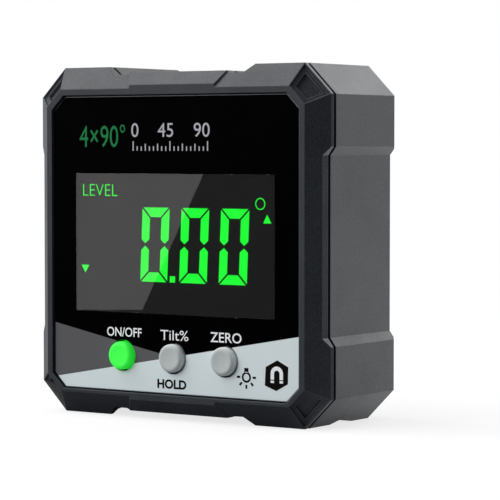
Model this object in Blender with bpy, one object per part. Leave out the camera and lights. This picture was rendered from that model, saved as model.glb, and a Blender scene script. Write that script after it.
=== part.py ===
# Digital angle gauge: a square case of two shells with a glossy front panel, a
# backlit display, three push buttons, two AAA cells and magnets in its feet.
# Metres, +Z up, and the front faces -Y. The origin is the middle of the
# footprint, on the surface that the gauge stands on. A depth is measured
# backwards from the front face of the rim.

import math

import bmesh
import bpy
from mathutils import Matrix, Vector

# Case outline, seen from the front
WIDTH = 0.0550
HEIGHT = 0.0550
CORNER_CUT = 0.0047
SIDE_RECESS = 0.0010
SIDE_PAD_EDGE = 0.01495
SIDE_RECESS_EDGE = 0.01365
END_VALLEY = 0.0013
END_PAD_EDGE = 0.0139
END_VALLEY_EDGE = 0.0123
BLOCK_DROP = 0.00095
BLOCK_FOOT_EDGE = 0.0099
BLOCK_TOP_EDGE = 0.0093

# Front bevel, rim and the raised blocks in the middle of the top and bottom bevels
SIDE_BEVEL = 0.00304
END_BEVEL = 0.0035
BEVEL_DEPTH = 0.0027
RIM_CORNER_CUT = 0.0028
RIM_SIDE = 0.00095
RIM_TOP = 0.00095
RIM_BOTTOM = 0.0005
BLOCK_FRONT_EDGE = 0.0081
BLOCK_RISE = 0.00055
BLOCK_BEVEL_DEPTH = 0.0017

# Steps of the recessed corner facets: how far each goes inward and how deep
FACET_BORDER = 0.00012
FACET_STEP_RUN = 0.0002
FACET_STEP_DEPTH = 0.0004
FACET_LEDGE = 0.00055
FACET_POCKET_RUN = 0.0002
FACET_POCKET_DEPTH = 0.0005

# Joint between the shells
FRONT_SKIRT = 0.00068
SEAM_GAP = 0.00064
REAR_WALL = 0.0026
REBATE_WIDTH = 0.0007
REBATE_DEPTH = 0.00088
LIP_CLEARANCE = 0.0005
LIP_THICKNESS = 0.0010
LIP_LENGTH = 0.0018

# Rear shell
REAR_BEVEL = 0.0026
REAR_BEVEL_DEPTH = 0.00346
RECESS_BEVEL_LAG = 0.0004
REAR_FOOT_EDGE = 0.0176
BACK_PLATE = 0.0022
GROOVE_TO_SEAM = 0.0058
GROOVE_WIDTH = 0.0062
GROOVE_DEPTH = 0.0011

# Front panel and the plate that carries it
PANEL_RECESS = 0.00045
PANEL_THICKNESS = 0.0008
PANEL_CORNER_CUT = 0.0022
PANEL_CLEARANCE = 0.0002
PANEL_EDGE_BEVEL = 0.00012
PLATE_THICKNESS = 0.0012

# Display stack
WINDOW_SIDE_MARGIN = 0.0044
WINDOW_TOP_MARGIN = 0.0121
GLASS_BORDER = 0.0006
GLASS_LEDGE = 0.0016
GLASS_THICKNESS = 0.0022
GUIDE_THICKNESS = 0.0028
FRAME_WALL = 0.0008
CONNECTOR_THICKNESS = 0.0012
CONNECTOR_INSET = 0.0025
LED_WIDTH = 0.0015
LED_LENGTH = 0.0040
LED_HEIGHT = 0.0026

# Board and what is on it
STANDOFF_LENGTH = 0.00495
STANDOFF_RADIUS = 0.0016
STANDOFF_TO_CHIPS = 0.0035
BOARD_THICKNESS = 0.0012
BOARD_CLEARANCE = 0.0006
BOARD_SCREW_RADIUS = 0.0008
BOARD_SCREW_HEAD_RADIUS = 0.0014
BOARD_SCREW_HEAD = 0.0005
BOARD_SCREW_LENGTH = 0.0047
CHIP_SIZE = 0.0070
CHIP_HEIGHT = 0.0010
CHIP_TO_SENSOR = 0.0008
SENSOR_SIZE = 0.0040
SENSOR_HEIGHT = 0.0011

# Buttons and their switches
BUTTON_RADIUS = 0.0022
BUTTON_PITCH = 0.00975
BUTTON_TO_PANEL_EDGE = 0.00555
BUTTON_TO_WINDOW = 0.00675
BUTTON_PROUD = 0.0006
BUTTON_ROUNDING = 0.00055
BUTTON_DISH = 0.00012
BUTTON_TRAVEL = 0.0005
FLANGE_RADIUS = 0.0029
FLANGE_THICKNESS = 0.0007
STEM_RADIUS = 0.0015
SWITCH_SIZE = 0.0046
PLUNGER_RADIUS = 0.0012
PLUNGER_PROUD = 0.0010
PLUNGER_SUNK = 0.0006
SWITCH_FLOOR = 0.0004

# Battery bay, cells and contacts
BAY_FLOOR = 0.0012
BAY_WALL = 0.0015
BAY_END_WALL = 0.0023
CELL_DIAMETER = 0.0105
CELL_SPACING = 0.0006
CELL_RIM = 0.0005
CELL_NUB_RADIUS = 0.0019
CELL_NUB_LENGTH = 0.0010
CONTACT_THICKNESS = 0.0003
CONTACT_HEIGHT = 0.0061
CONTACT_WIDTH = 0.0084
SPRING_LENGTH = 0.0018
SPRING_WIRE_RADIUS = 0.0002
SPRING_SMALL_RADIUS = 0.0018
SPRING_LARGE_RADIUS = 0.0031
SPRING_TURNS = 3
CELL_TO_COVER = 0.0009

# Battery cover, its seal and its screw
COVER_THICKNESS = 0.0012
COVER_OVERHANG = 0.0016
OVERHANG_THICKNESS = 0.0012
SEAL_CHANNEL = 0.00075
SEAL_CHANNEL_DEPTH = 0.0013
COVER_CORNER_CUT = 0.0012
TAB_HALF_WIDTH = 0.0050
TAB_LENGTH = 0.0074
TAB_SCREW_TO_EDGE = 0.0037
COVER_BOSS_RADIUS = 0.0030
COVER_BOSS_DEPTH = 0.0016
COVER_COLUMN_WALL = 0.0009
COVER_COUNTERBORE = 0.0016
COVER_SCREW_LENGTH = 0.0076

# Screws
SCREW_RADIUS = 0.0010
SCREW_HEAD_RADIUS = 0.0020
SCREW_HEAD = 0.0011
SCREW_RECESS_WIDTH = 0.0005
SCREW_RECESS_LENGTH = 0.0024
SCREW_TIP_ROOM = 0.0010
CASE_SCREW_INSET = 0.0076
CASE_SCREW_LENGTH = 0.0120
CASE_BOSS_RADIUS = 0.0026
CASE_COLUMN_RADIUS = 0.0036
CASE_COLUMN_FLOOR = 0.0022
CASE_COUNTERBORE = 0.0042
CASE_COUNTERBORE_CLEARANCE = 0.0004

# Shape of a screw, as shares of its own sizes
TIP_RADIUS_SHARE = 0.6
TIP_LENGTH_SHARE = 0.4
HEAD_RIM_SHARE = 0.7
HEAD_TOP_SHARE = 0.86
RECESS_DEPTH_SHARE = 0.55

# Magnets in the feet
MAGNET_RADIUS = 0.0016
MAGNET_THICKNESS = 0.00115
MAGNET_SUNK = 0.00015

# Clearance between pieces that touch, and how far a cutter runs past a face
GAP = 0.0003
OVERCUT = 0.0010

# Sides of round pieces, steps of a button's rounded edge and of one turn of a spring, and the
# places of a button face's rings as shares of its radius
FINE_SIDES = 40
ROUND_SIDES = 28
SMALL_SIDES = 20
ROUNDING_STEPS = 4
SPRING_STEPS = 14
DISH_RINGS = (0.35, 0.75, 1.0)

# Places worked out from the sizes above
half_width = WIDTH / 2
half_height = HEIGHT / 2
middle_z = HEIGHT / 2

seam_front = BEVEL_DEPTH + FRONT_SKIRT
seam_rear = seam_front + SEAM_GAP
lip_end = seam_front + LIP_LENGTH
rebate_floor = seam_rear + REBATE_DEPTH
lip_outer_inset = REAR_WALL + LIP_CLEARANCE
lip_inner_inset = lip_outer_inset + LIP_THICKNESS

panel_front = PANEL_RECESS
panel_back = panel_front + PANEL_THICKNESS
plate_front = panel_back + GAP
plate_back = plate_front + PLATE_THICKNESS

opening_half_width = half_width - SIDE_BEVEL - RIM_SIDE
opening_low = END_BEVEL + RIM_BOTTOM
opening_high = HEIGHT - END_BEVEL - RIM_TOP
panel_half_width = opening_half_width - PANEL_CLEARANCE
panel_low = opening_low + PANEL_CLEARANCE
panel_high = opening_high - PANEL_CLEARANCE

glass_front = plate_front
glass_back = glass_front + GLASS_THICKNESS
glass_half_width = panel_half_width - WINDOW_SIDE_MARGIN + GLASS_BORDER
glass_high = panel_high - WINDOW_TOP_MARGIN + GLASS_BORDER
button_z = panel_low + BUTTON_TO_PANEL_EDGE
glass_low = button_z + BUTTON_TO_WINDOW - GLASS_LEDGE
frame_high = glass_high + GAP + FRAME_WALL

board_front = plate_back + STANDOFF_LENGTH + GAP
board_back = board_front + BOARD_THICKNESS
board_part_back = board_front - GAP
board_half_x = half_width - lip_inner_inset - BOARD_CLEARANCE
board_half_z = half_height - lip_inner_inset - BOARD_CLEARANCE
upper_row_z = (frame_high + middle_z + board_half_z) / 2
chip_row_half = (CHIP_SIZE + CHIP_TO_SENSOR + SENSOR_SIZE) / 2

bay_front = board_back + GAP + BOARD_SCREW_HEAD + GAP
bay_floor = bay_front + BAY_FLOOR
cell_radius = CELL_DIAMETER / 2
cell_depth = bay_floor + GAP + cell_radius
cell_offset = cell_radius + CELL_SPACING / 2
bay_half_width = half_width - SIDE_RECESS - BAY_END_WALL
bay_half_height = cell_offset + cell_radius + GAP
contact_face = bay_half_width - GAP - CONTACT_THICKNESS
cell_plus_end = contact_face - GAP
cell_minus_end = contact_face - GAP - SPRING_LENGTH - GAP

cover_front = cell_depth + cell_radius + CELL_TO_COVER
case_back = cover_front + COVER_THICKNESS
cover_seat = cover_front - GAP
channel_floor = cover_seat - SEAL_CHANNEL_DEPTH
overhang_front = channel_floor - OVERHANG_THICKNESS
rear_bevel_start = case_back - REAR_BEVEL_DEPTH
rear_bevel_slope = REAR_BEVEL / REAR_BEVEL_DEPTH
plate_inside = case_back - BACK_PLATE

screw_x = half_width - CASE_SCREW_INSET
screw_offset = half_height - CASE_SCREW_INSET
case_screw_seat = case_back - CASE_COUNTERBORE
case_column_front = case_screw_seat - CASE_COLUMN_FLOOR
case_boss_end = case_column_front - GAP
case_screw_tip = case_screw_seat + GAP - CASE_SCREW_LENGTH

cover_half_width = bay_half_width - COVER_OVERHANG + SEAL_CHANNEL
cover_half_height = bay_half_height + SEAL_CHANNEL
tab_low = middle_z - cover_half_height - TAB_LENGTH
cover_screw_z = tab_low + TAB_SCREW_TO_EDGE
cover_boss_front = cover_front - COVER_BOSS_DEPTH
cover_column_floor = cover_boss_front - GAP
cover_screw_seat = case_back - COVER_COUNTERBORE + GAP
cover_screw_tip = cover_screw_seat - COVER_SCREW_LENGTH

groove_middle = seam_rear + GROOVE_TO_SEAM + GROOVE_WIDTH / 2
screw_hole_radius = SCREW_RADIUS + GAP

# World place of the rim's front face, which centres the whole gauge on Y
front_y = BUTTON_PROUD - (BUTTON_PROUD + case_back) / 2


def clear_scene():
    for old in list(bpy.data.objects):
        bpy.data.objects.remove(old, do_unlink=True)


def make_material(name, colour, roughness, metallic=0.0):
    material = bpy.data.materials.new(name)
    material.use_nodes = True
    shader = material.node_tree.nodes["Principled BSDF"]
    shader.inputs["Base Color"].default_value = (*colour, 1.0)
    shader.inputs["Roughness"].default_value = roughness
    shader.inputs["Metallic"].default_value = metallic
    material.diffuse_color = (*colour, 1.0)
    return material


def world_point(x, depth, z):
    return Vector((x, front_y + depth, z))


def add_object(name, bm):
    bmesh.ops.recalc_face_normals(bm, faces=bm.faces[:])
    mesh = bpy.data.meshes.new(name)
    bm.to_mesh(mesh)
    bm.free()
    item = bpy.data.objects.new(name, mesh)
    bpy.context.scene.collection.objects.link(item)
    return item


def finish(item, material, smooth=False):
    item.data.materials.clear()
    item.data.materials.append(material)
    if smooth:
        item.data.shade_smooth()
        item.data.set_sharp_from_angle(angle=math.radians(35))
    return item


# An octagon seen from the front: a rectangle with its four corners cut at 45 degrees
def octagon(half_x, low, high, cut):
    return [
        (half_x - cut, low), (half_x, low + cut),
        (half_x, high - cut), (half_x - cut, high),
        (-half_x + cut, high), (-half_x, high - cut),
        (-half_x, low + cut), (-half_x + cut, low),
    ]


# The case outline without pads, moved inward by the same distance on all eight sides
def case_octagon(inset):
    cut = CORNER_CUT - inset * (2 - math.sqrt(2))
    return octagon(half_width - inset, inset, HEIGHT - inset, cut)


def rectangle(half_x, low, high):
    return [(half_x, low), (half_x, high), (-half_x, high), (-half_x, low)]


# A closed solid through a list of (outline, depth) rings with equal point counts
def loft(name, rings):
    bm = bmesh.new()
    loops = []
    for outline, depth in rings:
        loops.append([bm.verts.new(world_point(x, depth, z)) for x, z in outline])
    for near, far in zip(loops, loops[1:]):
        for i in range(len(near)):
            j = (i + 1) % len(near)
            bm.faces.new((near[i], near[j], far[j], far[i]))
    bm.faces.new(loops[0])
    bm.faces.new(loops[-1])
    return add_object(name, bm)


def prism(name, outline, start, end):
    return loft(name, [(outline, start), (outline, end)])


def box(name, x_low, x_high, start, end, z_low, z_high):
    outline = [(x_high, z_low), (x_high, z_high), (x_low, z_high), (x_low, z_low)]
    return prism(name, outline, start, end)


# A turned solid. The profile lists (distance along the axis, radius) from one end to the other,
# and the axis starts at place and runs along the given world direction.
def turned(name, profile, place, direction, sides):
    bm = bmesh.new()
    turn = Vector((0, 0, 1)).rotation_difference(Vector(direction)).to_matrix().to_4x4()
    frame = Matrix.Translation(place) @ turn
    loops = []
    for along, radius in profile:
        loop = []
        for i in range(sides):
            angle = 2 * math.pi * i / sides
            point = Vector((radius * math.cos(angle), radius * math.sin(angle), along))
            loop.append(bm.verts.new(frame @ point))
        loops.append(loop)
    for near, far in zip(loops, loops[1:]):
        for i in range(sides):
            j = (i + 1) % sides
            bm.faces.new((near[i], near[j], far[j], far[i]))
    bm.faces.new(loops[0])
    bm.faces.new(loops[-1])
    return add_object(name, bm)


def cylinder(name, radius, x, z, start, end, sides=SMALL_SIDES):
    profile = [(0.0, radius), (end - start, radius)]
    return turned(name, profile, world_point(x, start, z), (0, 1, 0), sides)


# Several helper solids that don't touch, put into one mesh
def joined(name, items):
    bm = bmesh.new()
    for item in items:
        bm.from_mesh(item.data)
        bpy.data.objects.remove(item, do_unlink=True)
    return add_object(name, bm)


def combine(target, helper, operation):
    helper.hide_render = True
    helper.display_type = "WIRE"
    modifier = target.modifiers.new(helper.name, "BOOLEAN")
    modifier.operation = operation
    modifier.solver = "EXACT"
    modifier.object = helper


def cut(target, helper):
    combine(target, helper, "DIFFERENCE")


def add(target, helper):
    combine(target, helper, "UNION")


def mirrored(outline):
    return [(-x, z) for x, z in outline]


def flipped(outline):
    return [(x, HEIGHT - z) for x, z in outline]


# Everything that lies outside the pads, recesses and valleys, as four solids along Y. The rings
# list (shift, depth), where the shift moves all four inward at that depth.
def outer_cutters(name, rings, foot_edge):
    side_slope = (SIDE_PAD_EDGE - SIDE_RECESS_EDGE) / SIDE_RECESS
    valley_run = END_PAD_EDGE - END_VALLEY_EDGE
    far_side = SIDE_PAD_EDGE + side_slope * OVERCUT

    def side(shift):
        recess_x = half_width - SIDE_RECESS - shift
        outer_x = half_width + OVERCUT - shift
        return [
            (recess_x, middle_z - SIDE_RECESS_EDGE), (outer_x, middle_z - far_side),
            (outer_x, middle_z + far_side), (recess_x, middle_z + SIDE_RECESS_EDGE),
        ]

    def end(pad_edge, shift):
        valley_z = HEIGHT - END_VALLEY - shift
        half = [
            (pad_edge + valley_run / END_VALLEY * OVERCUT, HEIGHT + OVERCUT - shift),
            (pad_edge - valley_run, valley_z), (BLOCK_FOOT_EDGE, valley_z),
            (BLOCK_TOP_EDGE, HEIGHT - BLOCK_DROP - shift),
        ]
        return half + mirrored(half)[::-1]

    return joined(name, [
        loft("right", [(side(shift), depth) for shift, depth in rings]),
        loft("left", [(mirrored(side(shift)), depth) for shift, depth in rings]),
        loft("top", [(end(END_PAD_EDGE, shift), depth) for shift, depth in rings]),
        loft("bottom", [(flipped(end(foot_edge, shift)), depth) for shift, depth in rings]),
    ])


# The raised block on the top bevel, and its copy on the bottom bevel
def bevel_blocks(name):
    root_z = HEIGHT - END_BEVEL - BLOCK_RISE
    front_z = HEIGHT - END_BEVEL + BLOCK_RISE
    top_z = HEIGHT - BLOCK_DROP

    def section(edge, high):
        return rectangle(edge, root_z, high)

    rings = [
        (section(BLOCK_FRONT_EDGE, front_z), 0.0),
        (section(BLOCK_TOP_EDGE, top_z), BLOCK_BEVEL_DEPTH),
        (section(BLOCK_TOP_EDGE, top_z), seam_front),
    ]
    upper = loft("upper_block", rings)
    lower = loft("lower_block", [(flipped(outline), depth) for outline, depth in rings])
    return joined(name, [upper, lower])


def corner_places():
    return [(x, middle_z + offset) for x in (-screw_x, screw_x) for offset in (-screw_offset, screw_offset)]


# Two stand between the buttons, and two beside the chips above the display
def standoff_places():
    upper_x = chip_row_half + STANDOFF_TO_CHIPS
    lower = [(side * BUTTON_PITCH / 2, button_z) for side in (-1, 1)]
    return lower + [(side * upper_x, upper_row_z) for side in (-1, 1)]


def button_places():
    return {"power": -BUTTON_PITCH, "tilt": 0.0, "zero": BUTTON_PITCH}


# Two nested steps in each of the four corner facets of the front bevel
def recess_corner_facets(item):
    bm = bmesh.new()
    bm.from_mesh(item.data)
    steps = [
        (FACET_BORDER, 0.0), (FACET_STEP_RUN, -FACET_STEP_DEPTH),
        (FACET_LEDGE, 0.0), (FACET_POCKET_RUN, -FACET_POCKET_DEPTH),
    ]
    bm.normal_update()
    corners = []
    for face in bm.faces:
        normal = face.normal
        if normal.y < -0.2 and abs(normal.x) > 0.2 and abs(normal.z) > 0.2:
            corners.append(face)
    for thickness, depth in steps:
        bmesh.ops.inset_individual(
            bm, faces=corners, thickness=thickness, depth=depth, use_even_offset=True
        )
    bm.to_mesh(item.data)
    bm.free()


def build_front_shell(material):
    rim = octagon(half_width - SIDE_BEVEL, END_BEVEL, HEIGHT - END_BEVEL, RIM_CORNER_CUT)
    full = case_octagon(0.0)
    lip = case_octagon(lip_outer_inset)
    shell = loft("front_shell", [
        (rim, 0.0), (full, BEVEL_DEPTH), (full, seam_front), (lip, seam_front), (lip, lip_end),
    ])
    recess_corner_facets(shell)
    rings = [(0.0, -OVERCUT), (0.0, seam_front + SEAM_GAP / 2)]
    cut(shell, outer_cutters("front_outline_cutter", rings, END_PAD_EDGE))
    add(shell, bevel_blocks("bevel_blocks"))

    cavity = case_octagon(lip_inner_inset)
    cut(shell, prism("front_cavity_cutter", cavity, plate_back, lip_end + OVERCUT))
    opening_cut = PANEL_CORNER_CUT + PANEL_CLEARANCE * (2 - math.sqrt(2))
    opening = octagon(opening_half_width, opening_low, opening_high, opening_cut)
    cut(shell, prism("panel_recess_cutter", opening, -OVERCUT, plate_front))

    bosses = [
        cylinder("boss", CASE_BOSS_RADIUS, x, z, plate_front + PLATE_THICKNESS / 2, case_boss_end)
        for x, z in corner_places()
    ]
    bosses += [
        cylinder("standoff", STANDOFF_RADIUS, x, z, plate_front + PLATE_THICKNESS / 2,
                 plate_back + STANDOFF_LENGTH)
        for x, z in standoff_places()
    ]
    add(shell, joined("front_bosses", bosses))

    holes = [
        cylinder("hole", screw_hole_radius, x, z, case_screw_tip - SCREW_TIP_ROOM, case_boss_end + OVERCUT)
        for x, z in corner_places()
    ]
    board_tip = board_back + GAP - BOARD_SCREW_LENGTH
    holes += [
        cylinder("hole", BOARD_SCREW_RADIUS + GAP, x, z, board_tip - GAP,
                 plate_back + STANDOFF_LENGTH + OVERCUT)
        for x, z in standoff_places()
    ]
    holes += [
        cylinder("hole", BUTTON_RADIUS + GAP, x, button_z, plate_front - OVERCUT / 2,
                 plate_back + OVERCUT / 2, FINE_SIDES)
        for x in button_places().values()
    ]
    holes.append(box(
        "window", -glass_half_width - GAP, glass_half_width + GAP,
        plate_front - OVERCUT / 2, plate_back + OVERCUT / 2, glass_low - GAP, glass_high + GAP,
    ))
    cut(shell, joined("front_hole_cutter", holes))
    return finish(shell, material)


# The T-shaped outline of the battery cover, or of its recess when grown by a clearance
def cover_outline(grow):
    half_x = cover_half_width + grow
    low = middle_z - cover_half_height - grow
    high = middle_z + cover_half_height + grow
    tab_x = TAB_HALF_WIDTH + grow
    tab_z = tab_low - grow
    corner = COVER_CORNER_CUT
    right = [
        (tab_x - corner, tab_z), (tab_x, tab_z + corner), (tab_x, low),
        (half_x - corner, low), (half_x, low + corner),
        (half_x, high - corner), (half_x - corner, high),
    ]
    return right + mirrored(right)[::-1]


def build_rear_shell(material):
    full = case_octagon(0.0)
    back = case_octagon(REAR_BEVEL)
    shell = loft("rear_shell", [(full, seam_rear), (full, rear_bevel_start), (back, case_back)])
    recess_bevel_start = rear_bevel_start + RECESS_BEVEL_LAG
    end_shift = rear_bevel_slope * (case_back + OVERCUT - recess_bevel_start)
    rings = [(0.0, seam_rear - SEAM_GAP / 2), (0.0, recess_bevel_start), (end_shift, case_back + OVERCUT)]
    cut(shell, outer_cutters("rear_outline_cutter", rings, REAR_FOOT_EDGE))

    rebate = case_octagon(REAR_WALL - REBATE_WIDTH)
    inner = case_octagon(REAR_WALL)
    taper = rear_bevel_slope * (plate_inside - rear_bevel_start)
    inner_end = case_octagon(REAR_WALL + taper)
    cut(shell, loft("rear_cavity_cutter", [
        (rebate, seam_rear - OVERCUT), (rebate, rebate_floor), (inner, rebate_floor),
        (inner, rear_bevel_start), (inner_end, plate_inside),
    ]))

    wall_x = (bay_half_width + half_width - SIDE_RECESS) / 2
    bay_z = bay_half_height + BAY_WALL
    add(shell, box("bay_block", -wall_x, wall_x, bay_front, (plate_inside + cover_seat) / 2,
                   middle_z - bay_z, middle_z + bay_z))
    column_radius = COVER_BOSS_RADIUS + GAP + COVER_COLUMN_WALL
    column_front = cover_screw_tip - SCREW_TIP_ROOM - GAP
    add(shell, cylinder("cover_column", column_radius, 0.0, cover_screw_z, column_front,
                        (plate_inside + cover_seat) / 2, ROUND_SIDES))
    add(shell, joined("case_columns", [
        cylinder("column", CASE_COLUMN_RADIUS, x, z, case_column_front, (plate_inside + case_back) / 2)
        for x, z in corner_places()
    ]))

    cut_battery_bay(shell)
    cut_screw_holes(shell)
    cut_base(shell)
    return finish(shell, material)


def cut_battery_bay(shell):
    bay = rectangle(bay_half_width, middle_z - bay_half_height, middle_z + bay_half_height)
    mouth_x = bay_half_width - COVER_OVERHANG
    mouth = rectangle(mouth_x, middle_z - bay_half_height, middle_z + bay_half_height)
    channel = rectangle(cover_half_width, middle_z - cover_half_height, middle_z + cover_half_height)
    cut(shell, prism("bay_cutter", bay, bay_floor, overhang_front))
    cut(shell, loft("bay_mouth_cutter", [
        (mouth, overhang_front - OVERCUT), (mouth, channel_floor),
        (channel, channel_floor), (channel, cover_seat + OVERCUT / 2),
    ]))
    cut(shell, prism("cover_recess_cutter", cover_outline(GAP), cover_seat, case_back + OVERCUT))


def cut_screw_holes(shell):
    holes = [
        cylinder("hole", screw_hole_radius, x, z, case_column_front - OVERCUT / 2,
                 case_screw_seat + OVERCUT / 2)
        for x, z in corner_places()
    ]
    cut(shell, joined("case_screw_hole_cutter", holes))
    counterbores = [
        cylinder("counterbore", SCREW_HEAD_RADIUS + CASE_COUNTERBORE_CLEARANCE, x, z, case_screw_seat,
                 case_back + OVERCUT, ROUND_SIDES)
        for x, z in corner_places()
    ]
    counterbores.append(cylinder(
        "cover_boss_pocket", COVER_BOSS_RADIUS + GAP, 0.0, cover_screw_z, cover_column_floor,
        cover_seat + OVERCUT / 2, ROUND_SIDES,
    ))
    cut(shell, joined("counterbore_cutter", counterbores))
    cut(shell, cylinder("cover_screw_hole_cutter", screw_hole_radius, 0.0, cover_screw_z,
                        cover_screw_tip - SCREW_TIP_ROOM, cover_column_floor + OVERCUT / 2))


# The V groove that seats on a pipe, and the pockets of the magnets beside it
def cut_base(shell):
    slope = GROOVE_DEPTH / (GROOVE_WIDTH / 2)
    reach = GROOVE_WIDTH / 2 + OVERCUT / slope
    bm = bmesh.new()
    profile = [(-reach, -OVERCUT), (reach, -OVERCUT), (0.0, GROOVE_DEPTH)]
    ends = []
    for x in (-half_width - OVERCUT, half_width + OVERCUT):
        ends.append([bm.verts.new(world_point(x, groove_middle + along, z)) for along, z in profile])
    for i in range(3):
        j = (i + 1) % 3
        bm.faces.new((ends[0][i], ends[0][j], ends[1][j], ends[1][i]))
    bm.faces.new(ends[0])
    bm.faces.new(ends[1])
    cut(shell, add_object("groove_cutter", bm))

    pocket_top = MAGNET_SUNK + MAGNET_THICKNESS + GAP
    pockets = []
    for x, depth in magnet_places():
        profile = [(0.0, MAGNET_RADIUS + GAP), (pocket_top + OVERCUT, MAGNET_RADIUS + GAP)]
        pockets.append(turned("pocket", profile, world_point(x, depth, -OVERCUT), (0, 0, 1), ROUND_SIDES))
    cut(shell, joined("magnet_pocket_cutter", pockets))


def magnet_places():
    x = (REAR_FOOT_EDGE + half_width - CORNER_CUT) / 2
    near = seam_rear + GROOVE_TO_SEAM / 2
    far = (groove_middle + GROOVE_WIDTH / 2 + rear_bevel_start) / 2
    return [(side * x, depth) for side in (-1, 1) for depth in (near, far)]


def build_case_seal(material):
    outer = case_octagon(REAR_WALL - REBATE_WIDTH + GAP)
    inner = case_octagon(lip_outer_inset - GAP)
    start = seam_front + GAP
    end = rebate_floor - GAP
    seal = prism("case_seal", outer, start, end)
    cut(seal, prism("case_seal_cutter", inner, start - OVERCUT, end + OVERCUT))
    return finish(seal, material)


def build_front_panel(material):
    outline = octagon(panel_half_width, panel_low, panel_high, PANEL_CORNER_CUT)
    bevel = PANEL_EDGE_BEVEL
    cut_inset = PANEL_CORNER_CUT - bevel * (2 - math.sqrt(2))
    face = octagon(panel_half_width - bevel, panel_low + bevel, panel_high - bevel, cut_inset)
    panel = loft("front_panel", [
        (face, panel_front), (outline, panel_front + bevel), (outline, panel_back),
    ])
    holes = [
        cylinder("hole", BUTTON_RADIUS + GAP, x, button_z, panel_front - OVERCUT,
                 panel_back + OVERCUT, FINE_SIDES)
        for x in button_places().values()
    ]
    cut(panel, joined("panel_hole_cutter", holes))
    return finish(panel, material)


def build_display(materials):
    glass = box("display_glass", -glass_half_width, glass_half_width, glass_front, glass_back,
                glass_low, glass_high)
    finish(glass, materials["display"])

    frame_front = plate_back + GAP
    inner_x = glass_half_width + GAP
    outer_x = inner_x + FRAME_WALL
    frame = box("display_frame", -outer_x, outer_x, frame_front, board_part_back,
                glass_low - GAP - FRAME_WALL, frame_high)
    cut(frame, box("display_frame_cutter", -inner_x, inner_x, frame_front - OVERCUT,
                   board_part_back + OVERCUT, glass_low - GAP, glass_high + GAP))
    finish(frame, materials["frame"])

    stack_front = glass_back + GAP
    connector_high = glass_low + GAP + CONNECTOR_THICKNESS
    connector = box("display_connector", -glass_half_width + CONNECTOR_INSET,
                    glass_half_width - CONNECTOR_INSET, stack_front, board_part_back,
                    glass_low + GAP, connector_high)
    finish(connector, materials["rubber"])

    led_low_x = -glass_half_width
    led_middle = (connector_high + glass_high) / 2
    led = box("backlight_led", led_low_x, led_low_x + LED_WIDTH, board_part_back - LED_HEIGHT,
              board_part_back, led_middle - LED_LENGTH / 2, led_middle + LED_LENGTH / 2)
    finish(led, materials["led"])

    guide = box("light_guide", led_low_x + LED_WIDTH + GAP, glass_half_width, stack_front,
                stack_front + GUIDE_THICKNESS, connector_high + GAP, glass_high)
    finish(guide, materials["light_guide"])


def build_board(materials):
    corner_reach = screw_x + screw_offset - math.sqrt(2) * (CASE_BOSS_RADIUS + GAP)
    corner_cut = board_half_x + board_half_z - corner_reach
    outline = octagon(board_half_x, middle_z - board_half_z, middle_z + board_half_z, corner_cut)
    board = prism("main_board", outline, board_front, board_back)
    holes = [
        cylinder("hole", BOARD_SCREW_RADIUS + GAP, x, z, board_front - OVERCUT, board_back + OVERCUT)
        for x, z in standoff_places()
    ]
    cut(board, joined("board_hole_cutter", holes))
    finish(board, materials["board"])

    chip_x = -chip_row_half
    sensor_x = chip_x + CHIP_SIZE + CHIP_TO_SENSOR
    chip = box("controller_chip", chip_x, chip_x + CHIP_SIZE, board_part_back - CHIP_HEIGHT,
               board_part_back, upper_row_z - CHIP_SIZE / 2, upper_row_z + CHIP_SIZE / 2)
    finish(chip, materials["chip"])
    sensor = box("tilt_sensor", sensor_x, sensor_x + SENSOR_SIZE, board_part_back - SENSOR_HEIGHT,
                 board_part_back, upper_row_z - SENSOR_SIZE / 2, upper_row_z + SENSOR_SIZE / 2)
    finish(sensor, materials["chip"])


# One button cap with its flange and stem, its switch body and the switch's plunger
def build_button(name, x, cap_material, materials):
    z = button_z
    switch_hole = PLUNGER_SUNK + BUTTON_TRAVEL + GAP
    switch_front = board_part_back - SWITCH_FLOOR - switch_hole
    plunger_front = switch_front - PLUNGER_PROUD
    flange_front = plate_back + GAP
    stem_end = plunger_front - GAP

    face = -BUTTON_PROUD
    centre = BUTTON_RADIUS - BUTTON_ROUNDING
    profile = [(BUTTON_DISH * (1 - share ** 2), centre * share) for share in DISH_RINGS]
    for i in range(1, ROUNDING_STEPS + 1):
        angle = math.pi / 2 * i / ROUNDING_STEPS
        profile.append((
            BUTTON_ROUNDING * (1 - math.cos(angle)),
            centre + BUTTON_ROUNDING * math.sin(angle),
        ))
    profile += [
        (flange_front - face, BUTTON_RADIUS), (flange_front - face, FLANGE_RADIUS),
        (flange_front - face + FLANGE_THICKNESS, FLANGE_RADIUS),
        (flange_front - face + FLANGE_THICKNESS, STEM_RADIUS), (stem_end - face, STEM_RADIUS),
    ]
    button = turned(name + "_button", profile, world_point(x, face, z), (0, 1, 0), FINE_SIDES)
    finish(button, cap_material, smooth=True)

    plunger = cylinder(name + "_plunger", PLUNGER_RADIUS, x, z, plunger_front, switch_front + PLUNGER_SUNK)
    finish(plunger, materials["chip"], smooth=True)

    switch = box(name + "_switch", x - SWITCH_SIZE / 2, x + SWITCH_SIZE / 2, switch_front,
                 board_part_back, z - SWITCH_SIZE / 2, z + SWITCH_SIZE / 2)
    cut(switch, cylinder(name + "_switch_cutter", PLUNGER_RADIUS + GAP, x, z, switch_front - OVERCUT,
                         switch_front + switch_hole))
    finish(switch, materials["steel"])


def build_buttons(materials):
    for name, x in button_places().items():
        cap_material = materials["green"] if name == "power" else materials["grey"]
        build_button(name, x, cap_material, materials)


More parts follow.
